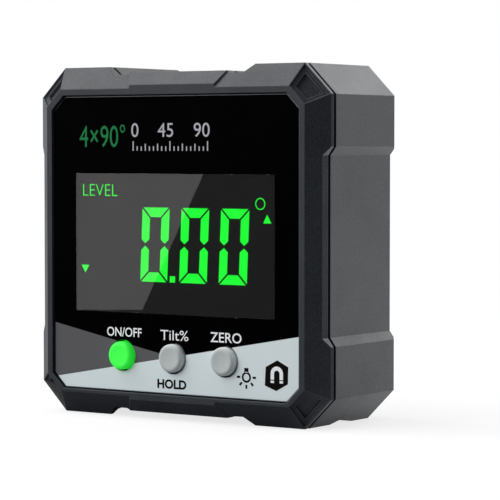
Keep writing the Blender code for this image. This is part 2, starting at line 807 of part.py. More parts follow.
# A cell lies along X. Its plus end points to +X when side is 1, and to -X when it is -1.
def build_cell(name, side, offset, material):
    length = cell_plus_end + cell_minus_end
    body = length - CELL_NUB_LENGTH
    profile = [
        (0.0, cell_radius - CELL_RIM), (CELL_RIM, cell_radius),
        (body - CELL_RIM, cell_radius), (body, cell_radius - CELL_RIM),
        (body, CELL_NUB_RADIUS), (length, CELL_NUB_RADIUS),
    ]
    start = world_point(-side * cell_minus_end, cell_depth, middle_z + offset)
    return finish(turned(name, profile, start, (side, 0, 0), ROUND_SIDES), material, smooth=True)


# A conical spring along X between a contact plate and the minus end of a cell
def build_spring(name, side, offset, material):
    curve = bpy.data.curves.new(name, "CURVE")
    curve.dimensions = "3D"
    curve.bevel_depth = SPRING_WIRE_RADIUS
    curve.bevel_resolution = 2
    curve.use_fill_caps = True
    spline = curve.splines.new("POLY")
    count = SPRING_TURNS * SPRING_STEPS + 1
    spline.points.add(count - 1)
    start = contact_face - GAP - SPRING_WIRE_RADIUS
    run = SPRING_LENGTH - 2 * SPRING_WIRE_RADIUS
    for i in range(count):
        share = i / (count - 1)
        angle = 2 * math.pi * SPRING_TURNS * share
        radius = SPRING_LARGE_RADIUS + (SPRING_SMALL_RADIUS - SPRING_LARGE_RADIUS) * share
        place = world_point(
            side * (start - run * share),
            cell_depth + radius * math.cos(angle),
            middle_z + offset + radius * math.sin(angle),
        )
        spline.points[i].co = (*place, 1.0)
    spring = bpy.data.objects.new(name, curve)
    bpy.context.scene.collection.objects.link(spring)
    curve.materials.append(material)
    return spring


def build_contact(name, side, z_low, z_high, material):
    near = side * contact_face
    far = side * (contact_face + CONTACT_THICKNESS)
    plate = box(name, min(near, far), max(near, far), cell_depth - CONTACT_HEIGHT / 2,
                cell_depth + CONTACT_HEIGHT / 2, z_low, z_high)
    return finish(plate, material)


def build_power(materials):
    build_cell("upper_cell", 1, cell_offset, materials["cell"])
    build_cell("lower_cell", -1, -cell_offset, materials["cell"])
    build_spring("upper_spring", -1, cell_offset, materials["steel"])
    build_spring("lower_spring", 1, -cell_offset, materials["steel"])
    half = CONTACT_WIDTH / 2
    build_contact("link_contact", -1, middle_z - cell_offset - half, middle_z + cell_offset + half,
                  materials["steel"])
    build_contact("upper_contact", 1, middle_z + cell_offset - half, middle_z + cell_offset + half,
                  materials["steel"])
    build_contact("lower_contact", 1, middle_z - cell_offset - half, middle_z - cell_offset + half,
                  materials["steel"])


def build_battery_cover(materials):
    cover = prism("battery_cover", cover_outline(0.0), cover_front, case_back)
    add(cover, cylinder("cover_boss", COVER_BOSS_RADIUS, 0.0, cover_screw_z, cover_boss_front,
                        (cover_front + case_back) / 2, ROUND_SIDES))
    seat = case_back - COVER_COUNTERBORE
    cut(cover, cylinder("cover_hole_cutter", screw_hole_radius, 0.0, cover_screw_z,
                        cover_boss_front - OVERCUT, case_back + OVERCUT))
    cut(cover, cylinder("cover_counterbore_cutter", SCREW_HEAD_RADIUS + GAP, 0.0, cover_screw_z,
                        seat, case_back + OVERCUT, ROUND_SIDES))
    finish(cover, materials["case"])

    outer_x = cover_half_width - GAP
    outer_z = cover_half_height - GAP
    inner_x = bay_half_width - COVER_OVERHANG
    seal = prism("cover_seal", rectangle(outer_x, middle_z - outer_z, middle_z + outer_z),
                 channel_floor + GAP, cover_front - GAP)
    cut(seal, prism("cover_seal_cutter",
                    rectangle(inner_x, middle_z - bay_half_height, middle_z + bay_half_height),
                    channel_floor, cover_front))
    finish(seal, materials["rubber"])


# A screw whose head seats at the given depth and whose tip points to the front
def screw_mesh(name, radius, head_radius, head, length):
    profile = [
        (0.0, radius * TIP_RADIUS_SHARE), (radius * TIP_LENGTH_SHARE, radius), (length, radius),
        (length, head_radius), (length + head * HEAD_RIM_SHARE, head_radius),
        (length + head, head_radius * HEAD_TOP_SHARE),
    ]
    screw = turned(name, profile, Vector((0, -length, 0)), (0, 1, 0), SMALL_SIDES)
    bars = []
    for turn in (0, math.pi / 2):
        half_long = SCREW_RECESS_LENGTH / 2 * head_radius / SCREW_HEAD_RADIUS
        half_thin = SCREW_RECESS_WIDTH / 2
        half_x = half_long if turn == 0 else half_thin
        half_z = half_thin if turn == 0 else half_long
        outline = [(half_x, -half_z), (half_x, half_z), (-half_x, half_z), (-half_x, -half_z)]
        floor = head * (1 - RECESS_DEPTH_SHARE)
        bars.append(prism("bar", outline, floor - front_y, head + OVERCUT - front_y))
    for bar in bars:
        cut(screw, bar)
    bpy.context.view_layer.update()
    graph = bpy.context.evaluated_depsgraph_get()
    mesh = bpy.data.meshes.new_from_object(screw.evaluated_get(graph))
    for helper in [screw, *bars]:
        bpy.data.objects.remove(helper, do_unlink=True)
    return mesh


def place_screw(name, mesh, x, seat, z, material):
    screw = bpy.data.objects.new(name, mesh)
    bpy.context.scene.collection.objects.link(screw)
    screw.location = world_point(x, seat, z)
    finish(screw, material, smooth=True)


def build_screws(material):
    case_mesh = screw_mesh("case_screw", SCREW_RADIUS, SCREW_HEAD_RADIUS, SCREW_HEAD, CASE_SCREW_LENGTH)
    for i, (x, z) in enumerate(corner_places(), start=1):
        place_screw(f"case_screw_{i}", case_mesh, x, case_screw_seat + GAP, z, material)
    board_mesh = screw_mesh("board_screw", BOARD_SCREW_RADIUS, BOARD_SCREW_HEAD_RADIUS,
                            BOARD_SCREW_HEAD, BOARD_SCREW_LENGTH)
    for i, (x, z) in enumerate(standoff_places(), start=1):
        place_screw(f"board_screw_{i}", board_mesh, x, board_back + GAP, z, material)
    cover_mesh = screw_mesh("cover_screw", SCREW_RADIUS, SCREW_HEAD_RADIUS, SCREW_HEAD, COVER_SCREW_LENGTH)
    place_screw("cover_screw", cover_mesh, 0.0, cover_screw_seat, cover_screw_z, material)


def build_magnets(material):
    for i, (x, depth) in enumerate(magnet_places(), start=1):
        profile = [(0.0, MAGNET_RADIUS), (MAGNET_THICKNESS, MAGNET_RADIUS)]
        place = world_point(x, depth, MAGNET_SUNK)
        finish(turned(f"base_magnet_{i}", profile, place, (0, 0, 1), ROUND_SIDES), material, smooth=True)


def make_materials():
    return {
        "case": make_material("case_plastic", (0.045, 0.048, 0.052), 0.6),
        "panel": make_material("panel_plastic", (0.006, 0.006, 0.007), 0.08),
        "rubber": make_material("seal_rubber", (0.012, 0.012, 0.012), 0.8),
        "display": make_material("display_glass", (0.02, 0.03, 0.025), 0.05),
        "light_guide": make_material("light_guide", (0.75, 0.85, 0.78), 0.3),
        "led": make_material("led", (0.9, 0.9, 0.8), 0.3),
        "frame": make_material("display_frame", (0.55, 0.55, 0.53), 0.5),
        "board": make_material("board", (0.02, 0.16, 0.06), 0.45),
        "chip": make_material("chip", (0.02, 0.02, 0.022), 0.5),
        "green": make_material("green_button", (0.06, 0.85, 0.09), 0.45),
        "grey": make_material("grey_button", (0.38, 0.40, 0.40), 0.5),
        "cell": make_material("cell_jacket", (0.16, 0.18, 0.20), 0.35, 0.5),
        "steel": make_material("steel", (0.62, 0.62, 0.60), 0.3, 1.0),
        "magnet": make_material("magnet", (0.70, 0.71, 0.72), 0.2, 1.0),
    }


def build_gauge():
    clear_scene()
    materials = make_materials()
    build_front_shell(materials["case"])
    build_rear_shell(materials["case"])
    build_case_seal(materials["rubber"])
    build_front_panel(materials["panel"])
    build_display(materials)
    build_board(materials)
    build_buttons(materials)
    build_power(materials)
    build_battery_cover(materials)
    build_screws(materials["steel"])
    build_magnets(materials["magnet"])


build_gauge()
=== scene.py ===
# Looks of a square digital angle gauge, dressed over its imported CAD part
import math

import bpy
from mathutils import Matrix, Vector


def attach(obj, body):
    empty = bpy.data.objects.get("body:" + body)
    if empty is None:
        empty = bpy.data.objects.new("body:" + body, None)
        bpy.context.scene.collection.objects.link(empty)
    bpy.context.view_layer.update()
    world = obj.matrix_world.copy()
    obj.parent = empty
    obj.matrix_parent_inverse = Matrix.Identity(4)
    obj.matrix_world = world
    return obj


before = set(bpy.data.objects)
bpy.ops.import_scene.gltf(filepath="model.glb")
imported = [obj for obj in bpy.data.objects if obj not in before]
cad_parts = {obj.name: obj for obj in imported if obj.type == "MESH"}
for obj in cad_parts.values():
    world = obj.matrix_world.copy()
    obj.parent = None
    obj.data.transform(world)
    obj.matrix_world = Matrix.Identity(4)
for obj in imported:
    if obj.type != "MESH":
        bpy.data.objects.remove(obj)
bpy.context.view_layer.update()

scene = bpy.context.scene
mm = 0.001


# The camera, at the photograph's viewing angle
photoView = {
    "lens": 171.67,
    "sensor": 36,
    "pixels": 500,     # width and height of the photograph
    "nearest": 0.01,
    "turn": 34.208,    # degrees round to the right side
    "dip": 2.474,      # degrees looking down
    "place": (0.216573, -0.308819, 0.042393),
}


def makeCamera():
    data = bpy.data.cameras.new("photoCamera")
    data.lens = photoView["lens"]
    data.sensor_width = photoView["sensor"]
    data.clip_start = photoView["nearest"]
    camera = bpy.data.objects.new("photoCamera", data)
    scene.collection.objects.link(camera)
    camera.location = photoView["place"]
    camera.rotation_euler = (math.radians(90 - photoView["dip"]), 0, math.radians(photoView["turn"]))
    scene.camera = camera


makeCamera()
scene.view_settings.view_transform = "Standard"
print("camera placed")


# Adds a node with its settings; an input is either a value or a socket to link
def addNode(tree, kind, inputs=None, **settings):
    made = tree.nodes.new("ShaderNode" + kind)
    for name, value in settings.items():
        setattr(made, name, value)
    for socket, value in (inputs or {}).items():
        if isinstance(value, bpy.types.NodeSocket):
            tree.links.new(value, made.inputs[socket])
        else:
            made.inputs[socket].default_value = value
    return made


def calc(tree, operation, first, second=0.0, clamp=False):
    made = addNode(tree, "Math", {0: first, 1: second}, operation=operation, use_clamp=clamp)
    return made.outputs[0]


# The sum of two values, each times its share
def addShares(tree, first, firstShare, second, secondShare):
    first = calc(tree, "MULTIPLY", first, firstShare)
    second = calc(tree, "MULTIPLY", second, secondShare)
    return calc(tree, "ADD", first, second)


# Maps the range between two ends to low and high, and holds it there outside them
def ramp(tree, value, ends=(0.0, 1.0), low=0.0, high=1.0, **settings):
    inputs = {0: value, 1: ends[0], 2: ends[1], 3: low, 4: high}
    return addNode(tree, "MapRange", inputs, **settings).outputs[0]


def noise(tree, place, scale, detail, distortion=0.0):
    return addNode(tree, "TexNoise", {"Vector": place, "Scale": scale, "Detail": detail,
                                      "Distortion": distortion}).outputs[0]


def blendColour(tree, mask, first, second, blend="MIX"):
    made = addNode(tree, "Mix", {0: mask, 6: first, 7: second}, data_type="RGBA", blend_type=blend)
    return made.outputs[2]


def placeGroup(tree, group, **values):
    made = tree.nodes.new("ShaderNodeGroup")
    made.node_tree = group
    for name, value in values.items():
        socket = made.inputs[name]
        if isinstance(value, bpy.types.NodeSocket):
            tree.links.new(value, socket)
        else:
            socket.default_value = value
    return made


# A node group with float inputs and their values, and outputs of the kinds given
def startGroup(name, takes, gives):
    tree = bpy.data.node_groups.new(name, "ShaderNodeTree")
    for title, value in takes.items():
        socket = tree.interface.new_socket(title, in_out="INPUT", socket_type="NodeSocketFloat")
        socket.default_value = value
    for title, kind in gives.items():
        tree.interface.new_socket(title, in_out="OUTPUT", socket_type="NodeSocket" + kind)
    return tree, tree.nodes.new("NodeGroupInput").outputs, tree.nodes.new("NodeGroupOutput").inputs


def objectPlace(tree):
    return addNode(tree, "TexCoord").outputs["Object"]


# How far a face's own normal points along one axis
def facingAlong(tree, axis):
    plain = addNode(tree, "NewGeometry").outputs["True Normal"]
    return addNode(tree, "SeparateXYZ", {0: plain}).outputs[axis]


# Spark-eroded mould texture: fine height, and the tone that goes with it
grainMix = {
    "pitScale": 1.7,      # times the scale of the fine grain
    "fineHeight": 0.65,
    "pitHeight": 0.35,
    "cloudScale": 140,
    "fineTone": 0.7,
    "cloudTone": 0.3,
}


def makeMoldedGrain():
    tree, takes, gives = startGroup("moldedGrain", {"scale": 5000}, {"height": "Float", "tone": "Float"})
    place = objectPlace(tree)
    fine = noise(tree, place, takes["scale"], 2)
    pitScale = calc(tree, "MULTIPLY", takes["scale"], grainMix["pitScale"])
    pits = addNode(tree, "TexVoronoi", {"Vector": place, "Scale": pitScale}).outputs["Distance"]
    cloud = noise(tree, place, grainMix["cloudScale"], 3)
    height = addShares(tree, fine, grainMix["fineHeight"], pits, grainMix["pitHeight"])
    tree.links.new(height, gives["height"])
    tone = addShares(tree, fine, grainMix["fineTone"], cloud, grainMix["cloudTone"])
    tree.links.new(tone, gives["tone"])
    return tree


# Rounded normal at hard edges, and a mask of the edges that the materials paint lighter: partly wear where
# handling polishes them, partly a painted highlight
edgeMix = {
    "reach": 9.0,         # how soon a bent normal counts as an edge
    "spotScale": 700,
    "spotLift": 0.35,     # what the mask keeps between the spots
}


def makeSoftEdge():
    tree, takes, gives = startGroup("softEdge", {"radius": 0.00018}, {"normal": "Vector", "mask": "Float"})
    rounded = addNode(tree, "Bevel", {"Radius": takes["radius"]}, samples=6).outputs[0]
    plain = addNode(tree, "NewGeometry").outputs["True Normal"]
    along = addNode(tree, "VectorMath", {0: rounded, 1: plain}, operation="DOT_PRODUCT").outputs["Value"]
    bend = calc(tree, "MULTIPLY", calc(tree, "SUBTRACT", 1.0, along), edgeMix["reach"], clamp=True)
    spots = noise(tree, objectPlace(tree), edgeMix["spotScale"], 3)
    # Bends at hollow edges count as well as outer ones, so the mask is partly wear and partly a painted
    # highlight
    wornAndLit = calc(tree, "MULTIPLY", bend, calc(tree, "ADD", spots, edgeMix["spotLift"]), clamp=True)
    tree.links.new(rounded, gives["normal"])
    tree.links.new(wornAndLit, gives["mask"])
    return tree


# 1 below a slanted line z = level + slope * x on the front
def makeBelowLine():
    sharpness = 25000    # one over the width of the border in metres
    tree, takes, gives = startGroup("belowLine", {"slope": 0, "level": 0}, {"mask": "Float"})
    place = addNode(tree, "SeparateXYZ", {0: objectPlace(tree)}).outputs
    line = calc(tree, "ADD", calc(tree, "MULTIPLY", place["X"], takes["slope"]), takes["level"])
    under = calc(tree, "MULTIPLY", calc(tree, "SUBTRACT", line, place["Z"]), sharpness)
    tree.links.new(calc(tree, "ADD", under, 0.5, clamp=True), gives["mask"])
    return tree


# 1 inside an upright rectangle on the front or back
def makeBoxField():
    takes = {"middleX": 0, "middleZ": 0, "halfWidth": 0.01, "halfHeight": 0.01, "softness": 0.00004}
    tree, takes, gives = startGroup("boxField", takes, {"mask": "Float"})
    place = addNode(tree, "SeparateXYZ", {0: objectPlace(tree)}).outputs
    sides = []
    for axis, middle, half in (("X", "middleX", "halfWidth"), ("Z", "middleZ", "halfHeight")):
        away = calc(tree, "ABSOLUTE", calc(tree, "SUBTRACT", place[axis], takes[middle]))
        inside = calc(tree, "DIVIDE", calc(tree, "SUBTRACT", takes[half], away), takes["softness"])
        sides.append(calc(tree, "ADD", inside, 0.5, clamp=True))
    tree.links.new(calc(tree, "MULTIPLY", *sides), gives["mask"])
    return tree


# Faint hand marks: how much rougher a glossy face is from place to place
smudgeMix = {
    "scale": 160,
    "twist": 0.6,
    "ends": (0.45, 0.7),    # the noise that is no mark, and a full mark
}


def makeSmudge():
    tree, takes, gives = startGroup("smudge", {"base": 0.1, "spread": 0.05}, {"roughness": "Float"})
    marks = noise(tree, objectPlace(tree), smudgeMix["scale"], 4, smudgeMix["twist"])
    more = calc(tree, "MULTIPLY", ramp(tree, marks, smudgeMix["ends"]), takes["spread"])
    tree.links.new(calc(tree, "ADD", takes["base"], more), gives["roughness"])
    return tree


# Turned or drawn metal: fine lines across the Z direction, with small dents
workedMix = {
    "alongZ": 9,          # how much closer the lines lie than they are long
    "dentScale": 400,
    "lineHeight": 0.7,
    "dentHeight": 0.3,
}


def makeWorkedMetal():
    tree, takes, gives = startGroup("workedMetal", {"scale": 900}, {"height": "Float", "tone": "Float"})
    stretch = (1, 1, workedMix["alongZ"])
    stretched = addNode(tree, "Mapping", {"Vector": objectPlace(tree), "Scale": stretch}).outputs[0]
    lines = noise(tree, stretched, takes["scale"], 4)
    dents = noise(tree, objectPlace(tree), workedMix["dentScale"], 2)
    height = addShares(tree, lines, workedMix["lineHeight"], dents, workedMix["dentHeight"])
    tree.links.new(height, gives["height"])
    tree.links.new(dents, gives["tone"])
    return tree


moldedGrain = makeMoldedGrain()
softEdge = makeSoftEdge()
belowLine = makeBelowLine()
boxField = makeBoxField()
smudge = makeSmudge()
workedMetal = makeWorkedMetal()
print("shared effects built")


# What part of a noise is spread over a change of tone, and how far shades go from 1
grainEnds = (0.38, 0.62)
toneEnds = (0.3, 0.7)
shades = (0.9, 1.1)


def startMaterial(name):
    material = bpy.data.materials.new(name)
    material.use_nodes = True
    return material, material.node_tree, material.node_tree.nodes["Principled BSDF"]


def setShader(shader, values):
    for name, value in values.items():
        shader.inputs[name].default_value = value


def colour(values):
    return tuple(values) + (1.0,)


# Moulded plastic, rubber or silicone: grain, soft edges painted lighter (partly wear, partly a painted
# highlight) and a slight change of tone
def moldedMaterial(name, look):
    material, tree, shader = startMaterial(name)
    grain = placeGroup(tree, moldedGrain, scale=look["grainScale"])
    edge = placeGroup(tree, softEdge, radius=look["edgeRadius"])
    tone = ramp(tree, grain.outputs["tone"], grainEnds)
    base = blendColour(tree, tone, colour(look["dark"]), colour(look["light"]))
    # Painted highlight along the edges, partly wear: the lighter edge colour over the base
    wearAndHighlight = calc(tree, "MULTIPLY", edge.outputs["mask"], look["edgeWearAndHighlight"])
    base = blendColour(tree, wearAndHighlight, base, colour(look["edge"]))
    tree.links.new(base, shader.inputs["Base Color"])
    rough = placeGroup(tree, smudge, base=look["roughness"], spread=look["roughSpread"])
    tree.links.new(rough.outputs[0], shader.inputs["Roughness"])
    bump = addNode(tree, "Bump", {"Height": grain.outputs["height"], "Normal": edge.outputs["normal"],
                                  "Strength": look["bump"], "Distance": look["bumpDepth"]})
    tree.links.new(bump.outputs[0], shader.inputs["Normal"])
    setShader(shader, {"Specular IOR Level": look["specular"]})
    return material, tree, shader, bump


caseLook = {
    "dark": (0.0125, 0.0155, 0.0205),
    "light": (0.0285, 0.034, 0.0435),
    # The lighter edge colour and its share: partly wear, partly a painted highlight
    "edge": (0.115, 0.122, 0.132),
    "edgeWearAndHighlight": 0.7,
    "edgeRadius": 0.00018,
    "grainScale": 4200,
    "bump": 0.7,
    "bumpDepth": 0.00006,
    "roughness": 0.42,
    "roughSpread": 0.05,
    "specular": 0.3,
}
casePlastic, caseTree, caseShader = moldedMaterial("casePlastic", caseLook)[:3]

skirtLook = {
    "seam": -8.45 * mm,     # the front shell's side faces end here
    "facing": 0.95,         # how squarely a face looks to the side to be one of them
    "roughness": 0.4,       # what they have above the rest
}


# The narrow side faces in front of the seam are duller than the rest of the case
def dullSkirt(tree, shader):
    rough = shader.inputs["Roughness"].links[0].from_socket
    deep = addNode(tree, "SeparateXYZ", {0: objectPlace(tree)}).outputs["Y"]
    front = calc(tree, "LESS_THAN", deep, skirtLook["seam"])
    across = calc(tree, "ABSOLUTE", facingAlong(tree, "X"))
    side = calc(tree, "GREATER_THAN", across, skirtLook["facing"])
    more = calc(tree, "MULTIPLY", calc(tree, "MULTIPLY", front, side), skirtLook["roughness"])
    tree.links.new(calc(tree, "ADD", rough, more, clamp=True), shader.inputs["Roughness"])


dullSkirt(caseTree, caseShader)


# The battery cover: the same plastic with finger ribs and a small arrow moulded over its tab
coverLook = {
    "ribsLow": 17.4 * mm,
    "ribStep": 1.1 * mm,
    "ribCount": 4,
    "ribHalf": 6.0 * mm,
    "ribShrink": 0.7 * mm,   # each rib is this much shorter at both ends
    "ribThick": 0.22 * mm,
    "back": 12.4 * mm,       # only faces behind this have them
    "height": 0.25 * mm,
    "soft": 0.3 * mm,        # width of the rounded flanks
    "arrowTip": 22.2 * mm,
    "arrowTop": 24.6 * mm,
}


def makeCoverPlastic():
    material, tree, shader, bump = moldedMaterial("coverPlastic", caseLook)
    place = addNode(tree, "SeparateXYZ", {0: objectPlace(tree)}).outputs
    back = calc(tree, "GREATER_THAN", place["Y"], coverLook["back"])
    away = calc(tree, "ABSOLUTE", place["X"])
    relief = None
    for rib in range(coverLook["ribCount"]):
        mask = placeGroup(tree, boxField, middleZ=coverLook["ribsLow"] + rib * coverLook["ribStep"],
                          halfWidth=coverLook["ribHalf"] - rib * coverLook["ribShrink"],
                          halfHeight=coverLook["ribThick"], softness=coverLook["soft"]).outputs[0]
        relief = mask if relief is None else calc(tree, "MAXIMUM", relief, mask)
    over = calc(tree, "SUBTRACT", place["Z"], coverLook["arrowTip"])
    inside = calc(tree, "DIVIDE", calc(tree, "SUBTRACT", over, away), coverLook["soft"], clamp=True)
    under = calc(tree, "SUBTRACT", coverLook["arrowTop"], place["Z"])
    under = calc(tree, "DIVIDE", under, coverLook["soft"], clamp=True)
    relief = calc(tree, "MAXIMUM", relief, calc(tree, "MULTIPLY", inside, under))
    relief = calc(tree, "MULTIPLY", relief, back)
    raised = addNode(tree, "Bump", {"Height": relief, "Normal": bump.outputs[0], "Strength": 1.0,
                                    "Distance": coverLook["height"]})
    tree.links.new(raised.outputs[0], shader.inputs["Normal"])
    return material


coverPlastic = makeCoverPlastic()

rubberLook = dict(caseLook, dark=(0.012, 0.012, 0.013), light=(0.022, 0.022, 0.023), edge=(0.04, 0.04, 0.04),
                  roughness=0.7, specular=0.25, grainScale=7000)
sealRubber = moldedMaterial("sealRubber", rubberLook)[0]

frameLook = dict(caseLook, dark=(0.6, 0.6, 0.58), light=(0.68, 0.68, 0.66), edge=(0.75, 0.75, 0.72),
                 roughness=0.45)
framePlastic = moldedMaterial("framePlastic", frameLook)[0]

chipLook = dict(rubberLook, dark=(0.02, 0.02, 0.021), light=(0.035, 0.035, 0.036), roughness=0.5)
chipResin = moldedMaterial("chipResin", chipLook)[0]

siliconeLook = {
    "dark": (0.44, 0.475, 0.475),
    "light": (0.49, 0.525, 0.525),
    # The lighter edge colour and its share: partly wear, partly a painted highlight
    "edge": (0.56, 0.59, 0.59),
    "edgeWearAndHighlight": 0.3,
    "edgeRadius": 0.0005,
    "grainScale": 6500,
    "bump": 0.25,
    "bumpDepth": 0.00003,
    "roughness": 0.55,
    "roughSpread": 0.1,
    "specular": 0.3,
}
greySilicone, greyTree, greyShader = moldedMaterial("greySilicone", siliconeLook)[:3]

# The paler colour painted on the flanks of the grey buttons, and the facing that bounds them
flankLightLook = {
    "colour": (0.8, 0.84, 0.84),
    "face": -0.85,     # how squarely the button's face looks to the front
    "flank": -0.3,
}


# Painted light: the flanks of the grey buttons are painted paler, standing for light that comes through them
def paintedFlankLight(tree, shader):
    base = shader.inputs["Base Color"].links[0].from_socket
    flank = ramp(tree, facingAlong(tree, "Y"), (flankLightLook["face"], flankLightLook["flank"]))
    tree.links.new(blendColour(tree, flank, base, colour(flankLightLook["colour"])), shader.inputs["Base Color"])


paintedFlankLight(greyTree, greyShader)

# The green button is lit from inside
greenLook = dict(siliconeLook, dark=(0.03, 0.62, 0.05), light=(0.05, 0.72, 0.07), edge=(0.12, 0.85, 0.14))
greenGlow = {"Emission Color": (0.015, 1.0, 0.04, 1), "Emission Strength": 0.42}
greenSilicone, greenShader = moldedMaterial("greenSilicone", greenLook)[:3:2]
setShader(greenShader, greenGlow)


# The glossy front panel: black print with a clear window, a grey wedge and a silver field
panelLook = {
    "black": (0.0005, 0.0005, 0.0006),
    "wedge": (0.105, 0.105, 0.112),
    "silver": (0.66, 0.735, 0.76),
    "topEdgeHighlight": (0.24, 0.25, 0.27),    # painted highlight on the upward-facing bare edge of the sheet along its top
    "highlightFacing": 0.3,
    "wedgeSlope": -0.1963,
    "wedgeLevel": 9.874 * mm,
    "silverSlope": 0.1788,
    "silverLevel": 9.919 * mm,
    "windowMiddle": 27.375 * mm,
    "windowHalfWidth": 18.91 * mm,
    "windowHalfHeight": 10.875 * mm,
    "flakeScale": 16000,
    "flakeShades": (0.93, 1.07),
    "roughness": 0.22,
    "roughSpread": 0.12,
    "edgeRadius": 0.1 * mm,
    "specular": 0.008,
}


def makePanelPlastic():
    material, tree, shader = startMaterial("panelPlastic")
    window = placeGroup(tree, boxField, middleZ=panelLook["windowMiddle"],
                        halfWidth=panelLook["windowHalfWidth"],
                        halfHeight=panelLook["windowHalfHeight"]).outputs[0]
    wedge, silver = [placeGroup(tree, belowLine, slope=panelLook[field + "Slope"],
                                level=panelLook[field + "Level"]).outputs[0]
                     for field in ("wedge", "silver")]
    flakes = noise(tree, objectPlace(tree), panelLook["flakeScale"], 1)
    shine = ramp(tree, flakes, toneEnds, *panelLook["flakeShades"])
    base = blendColour(tree, wedge, colour(panelLook["black"]), colour(panelLook["wedge"]))
    base = blendColour(tree, silver, base, colour(panelLook["silver"]))
    base = blendColour(tree, 1.0, base, shine, "MULTIPLY")
    # Painted highlight: faces that look up take a lighter colour, as if lit from above
    litTop = calc(tree, "GREATER_THAN", facingAlong(tree, "Z"), panelLook["highlightFacing"])
    base = blendColour(tree, litTop, base, colour(panelLook["topEdgeHighlight"]))
    tree.links.new(base, shader.inputs["Base Color"])
    rough = placeGroup(tree, smudge, base=panelLook["roughness"], spread=panelLook["roughSpread"])
    tree.links.new(rough.outputs[0], shader.inputs["Roughness"])
    tree.links.new(calc(tree, "SUBTRACT", 1.0, window), shader.inputs["Alpha"])
    edge = placeGroup(tree, softEdge, radius=panelLook["edgeRadius"])
    tree.links.new(edge.outputs["normal"], shader.inputs["Normal"])
    setShader(shader, {"Specular IOR Level": panelLook["specular"]})
    return material


panelPlastic = makePanelPlastic()


# Smooth glass or clear plastic, with faint hand marks and a glow where it is lit
hazeScale = 120
hazeSpread = 0.02    # how much rougher the hand marks are


def glossyMaterial(name, base, roughness, specular, glow=None, strength=1.0):
    material, tree, shader = startMaterial(name)
    shade = ramp(tree, noise(tree, objectPlace(tree), hazeScale, 4), toneEnds, *shades)
    tree.links.new(blendColour(tree, 1.0, colour(base), shade, "MULTIPLY"), shader.inputs["Base Color"])
    rough = placeGroup(tree, smudge, base=roughness, spread=hazeSpread)
    tree.links.new(rough.outputs[0], shader.inputs["Roughness"])
    setShader(shader, {"Specular IOR Level": specular})
    if glow:
        lit = blendColour(tree, 1.0, colour(glow), shade, "MULTIPLY")
        tree.links.new(lit, shader.inputs["Emission Color"])
        setShader(shader, {"Emission Strength": strength})
    return material


displayGlass = glossyMaterial("displayGlass", (0.0010, 0.0010, 0.0011), 0.35, 0.05)
segmentGlow = glossyMaterial("segmentGlow", (0.002, 0.05, 0.004), 0.4, 0.1,
                             glow=(0.004, 1.0, 0.03), strength=1.08)
lightGuide = glossyMaterial("lightGuide", (0.82, 0.85, 0.84), 0.3, 0.5)
ledLens = glossyMaterial("ledLens", (0.75, 0.8, 0.3), 0.25, 0.5, glow=(0.1, 0.8, 0.15), strength=0.3)


# The clear pane over the window; its two faces give the slanted reflection
paneFinish = {
    "tint": (0.97, 0.98, 0.97),
    "marks": 0.012,    # roughness of hand marks on it
    "ior": 1.5,
}


def makePaneGlass():
    material, tree, shader = startMaterial("paneGlass")
    rough = placeGroup(tree, smudge, base=0.0, spread=paneFinish["marks"])
    tree.links.new(rough.outputs[0], shader.inputs["Roughness"])
    setShader(shader, {"Base Color": colour(paneFinish["tint"]), "Transmission Weight": 1.0,
                       "IOR": paneFinish["ior"]})
    return material


paneGlass = makePaneGlass()


# Screws, springs and contacts, or the nickel skin of the magnets
metalLook = {
    "lineScale": 900,
    "edgeRadius": 0.12 * mm,
    "shadeReach": 0.9 * mm,    # how far into a corner the painted shade reaches
    "shadeEnds": (0.35, 0.95),
    "shadeTone": 0.12,
    "roughSpread": 0.15,
    "bump": 0.3,
    "bumpDepth": 0.03 * mm,
}


def metalMaterial(name, dark, light, roughness):
    material, tree, shader = startMaterial(name)
    metal = placeGroup(tree, workedMetal, scale=metalLook["lineScale"])
    edge = placeGroup(tree, softEdge, radius=metalLook["edgeRadius"])
    tone = ramp(tree, metal.outputs["tone"], toneEnds)
    base = blendColour(tree, tone, colour(dark), colour(light))
    # Painted shade: the colour is darker in corners and recesses, where ambient occlusion finds them
    openness = addNode(tree, "AmbientOcclusion", {"Distance": metalLook["shadeReach"]}, samples=8,
                       only_local=True).outputs["AO"]
    paintedShade = ramp(tree, openness, metalLook["shadeEnds"], metalLook["shadeTone"])
    tree.links.new(blendColour(tree, 1.0, base, paintedShade, "MULTIPLY"), shader.inputs["Base Color"])
    rough = placeGroup(tree, smudge, base=roughness, spread=metalLook["roughSpread"])
    tree.links.new(rough.outputs[0], shader.inputs["Roughness"])
    bump = addNode(tree, "Bump", {"Height": metal.outputs["height"], "Normal": edge.outputs["normal"],
                                  "Strength": metalLook["bump"], "Distance": metalLook["bumpDepth"]})
    tree.links.new(bump.outputs[0], shader.inputs["Normal"])
    setShader(shader, {"Metallic": 1.0})
    return material


steel = metalMaterial("steel", (0.42, 0.42, 0.43), (0.58, 0.58, 0.58), 0.28)
magnetNickel = metalMaterial("magnetNickel", (0.55, 0.54, 0.52), (0.66, 0.65, 0.62), 0.18)


# Circuit board: green mask with tracks showing through it on a grid
boardLook = {
    "gridScale": 260,
    "trackWidth": 0.06,
    "mask": (0.012, 0.11, 0.045),
    "maskToo": (0.016, 0.14, 0.055),
    "track": (0.03, 0.26, 0.10),
    "grainScale": 6000,
    "grainShare": 0.25,
    "bump": 0.3,
    "trackHeight": 0.03 * mm,
    "roughness": 0.35,
}


